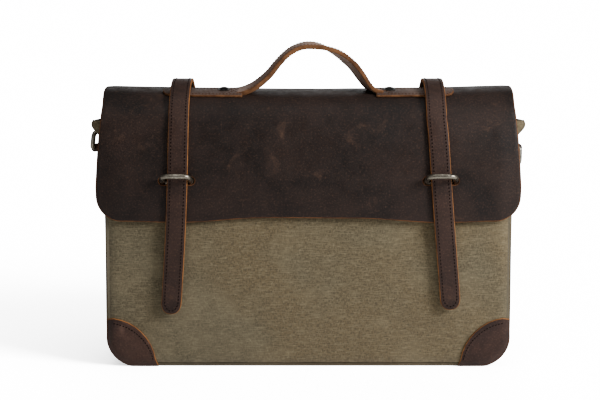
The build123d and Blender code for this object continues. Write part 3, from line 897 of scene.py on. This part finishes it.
# ---------------------------------------------------------------- tuck straps
STRAP_T = 3.5 * MM
STRAP_HALF = 9.9 * MM
STRAP_TOP = {"left": -127.6 * MM, "right": 126.0 * MM}
STRAP_LEAN = {"left": math.radians(2.6), "right": math.radians(-4.7)}
STRAP_BOW = {"left": 2.4 * MM, "right": 0.0}  # a strap's sideways bend between its top and its lower part
STRAP_BOW_LENGTH = 160 * MM
STRAP_TIP_Z = {"left": 58.0 * MM, "right": 62.5 * MM}
PIVOT_S = 107 * MM


def strap_route(side):
    """The strap's inner face from its sewn rear end, over the top and down the front to its tip."""
    lifts = [(17, 0.05), (26, 0.5), (35, 3.6), (44, 6.8), (55, 7.4), (64, 7.0), (74, 5.0), (84, 3.2),
             (94, 1.6), (PIVOT_S / MM, 0.62), (122, 0.7), (139, 0.6), (152, 0.55), (170, 0.6), (188, 0.65)]
    points = [FLAP_PATH.at(s * MM, FLAP_T + lift * MM) for s, lift in lifts]
    last = points[-1]
    tip = STRAP_TIP_Z[side]
    hang = [(0.2, 139.0), (1.0, 114.0), (2.4, 86.0), (3.9, tip / MM + 8), (4.2, tip / MM)]
    points += [Vector((last.x + y * MM, z * MM)) for y, z in hang]
    return Spline2(points)


def strap_piece_maker(side):
    route = strap_route(side)
    pivot = FLAP_PATH.at(PIVOT_S, FLAP_T)
    start = min(np.linspace(0.05, 0.16, 500), key=lambda s: (route.at(s) - pivot).length)
    lean = STRAP_LEAN[side]

    def place(u, s, h):
        p = route.at(s, h)
        angle = lean * ramp(s, start - 14 * MM, start + 12 * MM)
        down = min(p.y - pivot.y, 0.0)
        sway = 0.6 * MM * math.sin(s / (38 * MM)) * ramp(s, start, start + 0.03)
        sway += STRAP_BOW[side] * math.sin(-math.pi * down / STRAP_BOW_LENGTH)
        cup = 0.25 * MM * (abs(u) / STRAP_HALF) ** 2
        x = STRAP_TOP[side] + u * math.cos(angle) + down * math.sin(angle) + sway
        return Vector((x, MID_Y + p.x + cup, p.y - u * math.sin(angle)))

    return place, float(start), route.length


def strap_outline(s0, s1, tip):
    """Both edges of a stretch of strap, square at its ends or with a round tip at s1."""
    half = STRAP_HALF
    along = [(s0 + (s1 - s0) * i / 30) for i in range(31)]
    if not tip:
        side = [(half, s) for s in along]
        return side + [(-x, s) for x, s in reversed(side)]
    length = 11.5 * MM
    side = [(half, s) for s in along if s < s1 - length - 2 * MM]
    side += [(half * math.cos(a) ** 0.82, s1 - length + length * math.sin(a) ** 0.92)
             for a in np.linspace(0.0, math.pi / 2 - 0.02, 12)]
    return side + [(-x, s) for x, s in reversed(side)]


def strap_rows(place, s0, s1, tip):
    """The stitching just inside a strap's edges, and round its tip."""
    inset = 3.1 * MM
    half = STRAP_HALF - inset
    if not tip:
        lines = [[(x, s) for s in np.linspace(s0, s1, 40)] for x in (half, -half)]
        return [row_on(place, line, STRAP_T) for line in lines]
    length = 10.5 * MM
    end = s1 - inset
    side = [(half, s) for s in np.linspace(s0, end - length, 60)]
    turns = np.linspace(0.1, math.pi / 2, 10)
    side += [(half * math.cos(a), end - length + length * math.sin(a)) for a in turns]
    return [row_on(place, side + [(-x, s) for x, s in reversed(side[:-1])], STRAP_T)]


for side in SIDES:
    place, pivot_s, end_s = strap_piece_maker(side)
    hold = ends_at(pivot_s)
    rear = slab(f"strap_rear_{side}", strap_outline(0.0, pivot_s, False), place, STRAP_T,
                [STRAP, EDGE, FLESH], 2.4 * MM, 1.6 * MM, bevel=0.5 * MM, hold=hold)
    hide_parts(f"strap_crown_{side}")
    bend_shoulder(rear)
    sewn = stitches(f"strap_rear_stitching_{side}", strap_rows(place, 3 * MM, pivot_s, False), THREAD)
    bend_shoulder(sewn)
    front = slab(f"strap_{side}", strap_outline(pivot_s, end_s, True), place, STRAP_T,
                 [STRAP, EDGE, FLESH], 2.4 * MM, 1.6 * MM, bevel=0.5 * MM, hold=hold)
    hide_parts(f"strap_front_{side}")
    row = stitches(f"strap_stitching_{side}", strap_rows(place, pivot_s, end_s, True), THREAD)
    top, low = place(0.0, pivot_s + 0.5 * MM, 0.0), place(0.0, pivot_s + 12 * MM, 0.0)
    for piece in (front, row):
        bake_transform(piece)


# ---------------------------------------------------------------- carry handle
BASE_T, GRIP_T, BASE_HALF = 2.4 * MM, 4.4 * MM, 11.8 * MM
STRIP_MID = 68 * MM
HANDLE_Y = MID_Y - 13.6 * MM


def base_face(x, w, h):
    """On the crest of the flap: w runs across the strip, towards the front."""
    s = STRIP_MID + w
    p = FLAP_PATH.at(s, FLAP_T + h + flap_lift(x, s))
    return Vector((x, MID_Y + p.x, p.y))


ARCH = Spline2([Vector((x * MM, z * MM)) for x, z in [
    (-75, 276.0), (-66, 277.6), (-54, 282.8), (-40, 294.2), (-29, 307.6), (-18, 317.4), (-7, 322.4),
    (3, 323.3), (14, 321.6), (28, 316.0), (42, 306.0), (52, 294.2), (60, 283.4), (67, 278.0), (75, 276.0)]])


def grip_twist(x):
    """The strap is turned a little, so that its far edge is higher on the left and lower on the right."""
    return math.radians(11.0 - 27.0 * ramp(x, 2 * MM, 40 * MM) + 14.0 * ramp(x, 50 * MM, 72 * MM))


def grip_face(s, w, h):
    """w runs across the grip, towards the front."""
    turn = grip_twist(ARCH.at(s, -h).x)
    t = (ARCH.at(s + 0.2 * MM) - ARCH.at(s - 0.2 * MM)).normalized()
    forward = Vector((0.0, -1.0, 0.0))
    up = forward.cross(Vector((t.x, 0.0, t.y))).normalized()
    if up.z < 0:
        up = -up
    middle = ARCH.at(s)
    across = forward * math.cos(turn) - up * math.sin(turn)
    out = up * math.cos(turn) + forward * math.sin(turn)
    narrow = 1 - 0.16 * ramp(middle.y, 282 * MM, 305 * MM)
    crown = 0.45 * MM * (1 - (w / BASE_HALF) ** 2) * (1 if h > GRIP_T / 2 else 0)
    middle = Vector((middle.x, HANDLE_Y, middle.y))
    return middle + across * (w * narrow) + out * (h - GRIP_T / 2 + crown)


GRIP_END = ARCH.length
STRIP_ENDS = {"left": (-146 * MM, -66 * MM), "right": (146 * MM, 68 * MM)}  # outer and inner
for side, (outer, inner) in STRIP_ENDS.items():
    sign = 1 if side == "left" else -1
    shape = [(outer + sign * 9 * MM, -BASE_HALF), (outer + sign * 2.5 * MM, -BASE_HALF + 3 * MM),
             (outer, -BASE_HALF + 8 * MM), (outer, BASE_HALF - 8 * MM),
             (outer + sign * 2.5 * MM, BASE_HALF - 3 * MM), (outer + sign * 9 * MM, BASE_HALF),
             (inner, BASE_HALF), (inner, -BASE_HALF)]
    piece = slab(f"handle_strip_{side}", shape, base_face, BASE_T, [STRIP, GRIP_EDGE, FLESH],
                 2.6 * MM, 1.8 * MM, bevel=0.7 * MM)
    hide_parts(f"handle_base_{side}")
    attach(piece, "flap_top")
    lo, hi = sorted((outer + sign * 5 * MM, inner))
    rows = [row_on(base_face, [(x, w) for x in np.linspace(lo, hi, 20)], BASE_T)
            for w in (-BASE_HALF + 2.6 * MM, BASE_HALF - 2.6 * MM)]
    knot = inner - sign * 9 * MM
    for a, b in ((-1, 1), (1, -1)):
        rows.append(row_on(base_face, [(knot - 5 * MM, a * 7 * MM), (knot + 5 * MM, b * 7 * MM)], BASE_T))
    row = stitches(f"handle_strip_stitching_{side}", rows, PALE_THREAD)
    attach(row, "flap_top")

grip_shape = [(0.0, -BASE_HALF), (GRIP_END, -BASE_HALF), (GRIP_END, BASE_HALF), (0.0, BASE_HALF)]
grip = slab("handle_grip_leather", grip_shape, grip_face, GRIP_T, [GRIP, GRIP_EDGE, GRIP], 2.2 * MM, 1.6 * MM,
            bevel=0.8 * MM)
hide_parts("handle_grip")
rows = [row_on(grip_face, [(s, w) for s in np.linspace(14 * MM, GRIP_END - 14 * MM, 90)], GRIP_T)
        for w in (-BASE_HALF + 2.8 * MM, BASE_HALF - 2.8 * MM)]
grip_row = stitches("handle_grip_stitching", rows, PALE_THREAD)
for piece in (grip, grip_row):
    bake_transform(piece)


# ---------------------------------------------------------------- corner patches
PATCH_R, PATCH_T = 50 * MM, 1.8 * MM


def patch_shape(sign):
    """A quarter disc on the bottom corner, following the body's own outline, in x and z."""
    rim = []
    for p in resample(body_outline(-0.8 * MM), 3 * MM):
        if p.x * sign > 0 and (p - Vector((sign * BODY_HALF, 0.0))).length < PATCH_R + 1 * MM:
            rim.append((p.x, max(p.y, 0.0)))
    inner = 55 * MM
    rim.sort(key=lambda p: math.atan2(p[1] - inner, p[0] * sign - (BODY_HALF - inner)))
    curve = []
    for a in np.linspace(0.0, math.pi / 2, 11):
        grow = PATCH_R * (1.0 + 0.02 * math.sin(2 * a))
        curve.append((sign * (BODY_HALF - 0.975 * grow * math.sin(a)), 1.04 * grow * math.cos(a)))
    curve = [p for p in curve if abs(p[0]) < BODY_HALF - 0.5 * MM and p[1] > 0.6 * MM]
    return rim + curve


def on_panel(face):
    return lambda x, z, h: face(x, z, CANVAS_T + h)


for face_name, face in (("front", front_face), ("back", back_face)):
    for side, sign in (("left", -1), ("right", 1)):
        place = on_panel(face)
        shape = patch_shape(sign)
        piece = slab(f"corner_patch_leather_{face_name}_{side}", shape, place, PATCH_T, [PATCH, EDGE, FLESH],
                     2.4 * MM, 1.8 * MM, bevel=0.5 * MM)
        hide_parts(f"corner_patch_{face_name}_{side}")
        row = []
        for t in range(4, 41):
            a = math.radians(90 + 2.05 * t)
            r = PATCH_R - 3.6 * MM
            row.append((sign * (BODY_HALF + r * math.cos(a)), r * math.sin(a) + 0.6 * MM))
        sewn = stitches(f"corner_patch_stitching_{face_name}_{side}", [row_on(place, row, PATCH_T)], THREAD,
                        2.2 * MM, 3.1 * MM)
        for p in (piece, sewn):
            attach(p, "bag")


# ---------------------------------------------------------------- padded divider
def divider_pad():
    """A quilted pad with thin sewn edges and round lower corners, in the box of the CAD divider."""
    low, high = (Vector(c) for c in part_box("laptop_divider"))
    middle = (low + high) / 2
    half_w, half_t = (high.x - low.x) / 2, (high.y - low.y) / 2
    verts, faces, uvs = [], [], []
    nx, nz = 60, 34

    def point(i, k, sign):
        x = low.x + (high.x - low.x) * i / nx
        z = low.z + (high.z - low.z) * k / nz
        edge = min(half_w - abs(x - middle.x), z - low.z, high.z - z)
        quilt = abs(math.sin(math.pi * (x - low.x) / (50 * MM)))
        fill = ramp(edge, 0.0, 14 * MM) ** 0.5 * (0.78 + 0.22 * quilt ** 0.5)
        r = 26 * MM
        if z < low.z + r and abs(x - middle.x) > half_w - r:
            centre = Vector((math.copysign(half_w - r, x), low.z + r))
            out = Vector((x - middle.x, z)) - centre
            if out.length > r:
                out = out.normalized() * r
                x, z = middle.x + centre.x + out.x, centre.y + out.y
                fill = 0.02
        return Vector((x, middle.y + sign * half_t * max(fill, 0.12), z))

    for sign in (-1, 1):
        for k in range(nz + 1):
            for i in range(nx + 1):
                verts.append(point(i, k, sign))
                uvs.append((verts[-1].x, verts[-1].z))
    n = (nx + 1) * (nz + 1)
    for k in range(nz):
        for i in range(nx):
            a = k * (nx + 1) + i
            quad = (a, a + 1, a + nx + 2, a + nx + 1)
            faces += [quad, tuple(v + n for v in reversed(quad))]
    rim = list(range(nx + 1))
    rim += [k * (nx + 1) + nx for k in range(1, nz + 1)]
    rim += [nz * (nx + 1) + i for i in range(nx - 1, -1, -1)]
    rim += [k * (nx + 1) for k in range(nz - 1, 0, -1)]
    for a, b in zip(rim, rim[1:] + rim[:1]):
        faces.append((b, a, a + n, b + n))
    return mesh_object("padded_divider", verts, faces, uvs, None, [FOAM_CLOTH])


divider = divider_pad()
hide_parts("laptop_divider")
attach(divider, "bag")


# ---------------------------------------------------------------- studio and camera
def studio():
    """A wide white floor, which only takes shadows, in bright white air."""
    n = Nodes("studio_white")
    tint = n.mix(n.noise(3.0), rgb(252, 252, 252), rgb(250, 250, 250))
    n.finish(tint, 0.9, specular=0.1)
    half, z = 12.0, -0.4 * MM
    corners = [(-half, -half, z), (half, -half, z), (half, half, z), (-half, half, z)]
    floor = mesh_object("studio_floor", corners, [(0, 1, 2, 3)], None, None, [n.material])
    floor.is_shadow_catcher = True
    world = bpy.data.worlds.new("studio_air")
    world.use_nodes = True
    tree = world.node_tree
    air = tree.nodes["Background"]
    air.inputs["Color"].default_value = (1, 1, 1, 1)
    seen = tree.nodes.new("ShaderNodeLightPath").outputs["Is Camera Ray"]
    strength = tree.nodes.new("ShaderNodeMapRange")
    strength.inputs["To Min"].default_value = AIR_LIGHT
    strength.inputs["To Max"].default_value = AIR_WHITE
    tree.links.new(seen, strength.inputs["Value"])
    tree.links.new(strength.outputs["Result"], air.inputs["Strength"])
    bpy.context.scene.world = world


def area_light(name, place, aim, size, power):
    data = bpy.data.lights.new(name, "AREA")
    data.shape = "RECTANGLE"
    data.size, data.size_y = size
    data.energy = power
    lamp = bpy.data.objects.new(name, data)
    bpy.context.scene.collection.objects.link(lamp)
    lamp.location = place
    lamp.rotation_euler = (Vector(aim) - Vector(place)).to_track_quat("-Z", "Y").to_euler()


def camera():
    pitch, distance = math.radians(8.0), 1.25
    target = Vector((-8.3 * MM, MID_Y, 164.4 * MM))
    data = bpy.data.cameras.new("camera")
    data.sensor_width = 36.0
    data.lens = 72.5
    cam = bpy.data.objects.new("camera", data)
    cam.location = target + Vector((0.0, -math.cos(pitch), math.sin(pitch))) * distance
    cam.rotation_euler = (math.pi / 2 - pitch, 0.0, 0.0)
    bpy.context.scene.collection.objects.link(cam)
    bpy.context.scene.camera = cam


AIR_LIGHT, AIR_WHITE = 0.16, 16.0  # the air's light on things, and how white it looks
MIDDLE = (0.0, 0.0, 0.14)
studio()
area_light("key_right", (1.25, -0.8, 0.9), MIDDLE, (0.6, 0.6), 29.0)
area_light("fill_left", (-1.6, -1.5, 0.8), MIDDLE, (1.2, 1.2), 0.8)
area_light("top", (0.1, -0.5, 2.0), MIDDLE, (1.4, 1.0), 6.0)
area_light("back", (0.3, 1.8, 0.9), MIDDLE, (1.6, 0.8), 5.0)
camera()
